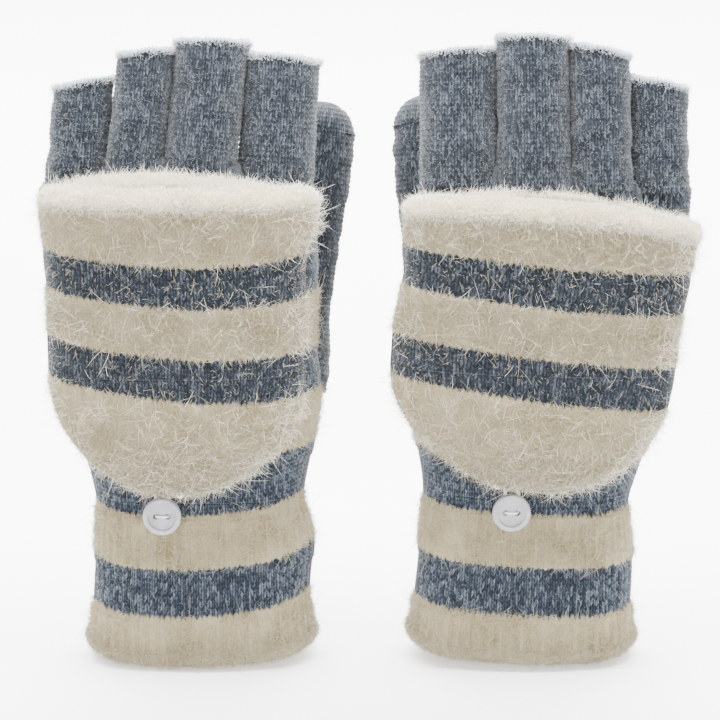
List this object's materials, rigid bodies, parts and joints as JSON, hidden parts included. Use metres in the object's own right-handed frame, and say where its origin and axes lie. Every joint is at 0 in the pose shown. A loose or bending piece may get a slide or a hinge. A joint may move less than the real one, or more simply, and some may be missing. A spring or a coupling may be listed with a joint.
{
  "type": "flip-top half-finger gloves",
  "caption": "Striped knitted half-finger gloves with a mitten cap that is hinged at the knuckles and buttons back over the hand.",
  "frame": {"origin": "middle of the left glove's hand opening, in the plane of its hem", "axes": "+Z towards the fingertips, +X from the left glove to the right one, -Y out of the backs of the hands"},
  "size_m": [0.1985, 0.0658, 0.1926],
  "materials": {
    "heather_knit": "heathered slate-blue stockinette knit",
    "angora": "cream brushed angora knit with slate-blue bands",
    "edging": "light grey overlocked edge",
    "elastic": "thin white elastic cord",
    "thread": "white sewing thread",
    "button": "frosted translucent resin"
  },
  "bodies": {
    "left_glove": {"left_cuff_welt": "angora", "left_cuff": "angora", "left_hand": "heather_knit", "left_knuckles": "heather_knit", "left_thumb": "heather_knit", "left_index_finger": "heather_knit", "left_middle_finger": "heather_knit", "left_ring_finger": "heather_knit", "left_little_finger": "heather_knit", "left_index_edging": "edging", "left_middle_edging": "edging", "left_ring_edging": "edging", "left_little_edging": "edging", "left_cap_seam": "heather_knit", "left_button_thread": "thread"},
    "left_cap": {"left_cap_back": "angora"},
    "left_cap_mouth": {"left_cap_front": "angora", "left_cap_rim": "angora"},
    "left_loop": {"left_cap_loop": "elastic"},
    "left_button": {"left_button": "button"},
    "right_glove": {"right_cuff_welt": "angora", "right_cuff": "angora", "right_hand": "heather_knit", "right_knuckles": "heather_knit", "right_thumb": "heather_knit", "right_index_finger": "heather_knit", "right_middle_finger": "heather_knit", "right_ring_finger": "heather_knit", "right_little_finger": "heather_knit", "right_index_edging": "edging", "right_middle_edging": "edging", "right_ring_edging": "edging", "right_little_edging": "edging", "right_cap_seam": "heather_knit", "right_button_thread": "thread"},
    "right_cap": {"right_cap_back": "angora"},
    "right_cap_mouth": {"right_cap_front": "angora", "right_cap_rim": "angora"},
    "right_loop": {"right_cap_loop": "elastic"},
    "right_button": {"right_button": "button"}
  },
  "joints": [
    {"name": "left_cap_flip", "type": "hinge", "parent": "left_glove", "child": "left_cap", "pos_m": [-0.0057, -0.019, 0.1495], "axis": [-1, 0, 0], "range_deg": [0, 192], "deforming": ["left_cap_front", "left_cap_rim", "left_cap_loop"]},
    {"name": "left_cap_open", "type": "slide", "parent": "left_cap", "child": "left_cap_mouth", "axis": [0, -1, 0], "range_m": [0, 0.024]},
    {"name": "left_loop_swing", "type": "hinge", "parent": "left_cap", "child": "left_loop", "pos_m": [-0.0105, -0.01721, 0.056], "axis": [-1, 0, 0], "range_deg": [0, 90], "deforming": ["left_cap_loop"]},
    {"name": "left_button_tilt", "type": "hinge", "parent": "left_glove", "child": "left_button", "pos_m": [-0.0105, -0.01911, 0.0492], "axis": [1, 0, 0], "range_deg": [-12, 12], "stiffness_Nm_per_rad": 0.0002},
    {"name": "pair_spread", "type": "slide", "parent": "left_glove", "child": "right_glove", "axis": [1, 0, 0], "range_m": [0, 0.04]},
    {"name": "right_cap_flip", "type": "hinge", "parent": "right_glove", "child": "right_cap", "pos_m": [0.10669, -0.019, 0.15041], "axis": [-0.9995, 0, 0.0314], "range_deg": [0, 192], "deforming": ["right_cap_front", "right_cap_rim", "right_cap_loop"]},
    {"name": "right_cap_open", "type": "slide", "parent": "right_cap", "child": "right_cap_mouth", "axis": [0, -1, 0], "range_m": [0, 0.024]},
    {"name": "right_loop_swing", "type": "hinge", "parent": "right_cap", "child": "right_loop", "pos_m": [0.09416, -0.0176, 0.05726], "axis": [-0.9995, 0, 0.0314], "range_deg": [0, 90], "deforming": ["right_cap_loop"]},
    {"name": "right_button_tilt", "type": "hinge", "parent": "right_glove", "child": "right_button", "pos_m": [0.09395, -0.0195, 0.05046], "axis": [0.9995, 0, -0.0314], "range_deg": [-12, 12], "stiffness_Nm_per_rad": 0.0002}
  ],
  "couplings": [
    {"joint": "left_cap_open", "follows": "left_cap_flip", "m_per_rad": 0.0071618},
    {"joint": "right_cap_open", "follows": "right_cap_flip", "m_per_rad": 0.0071618}
  ]
}
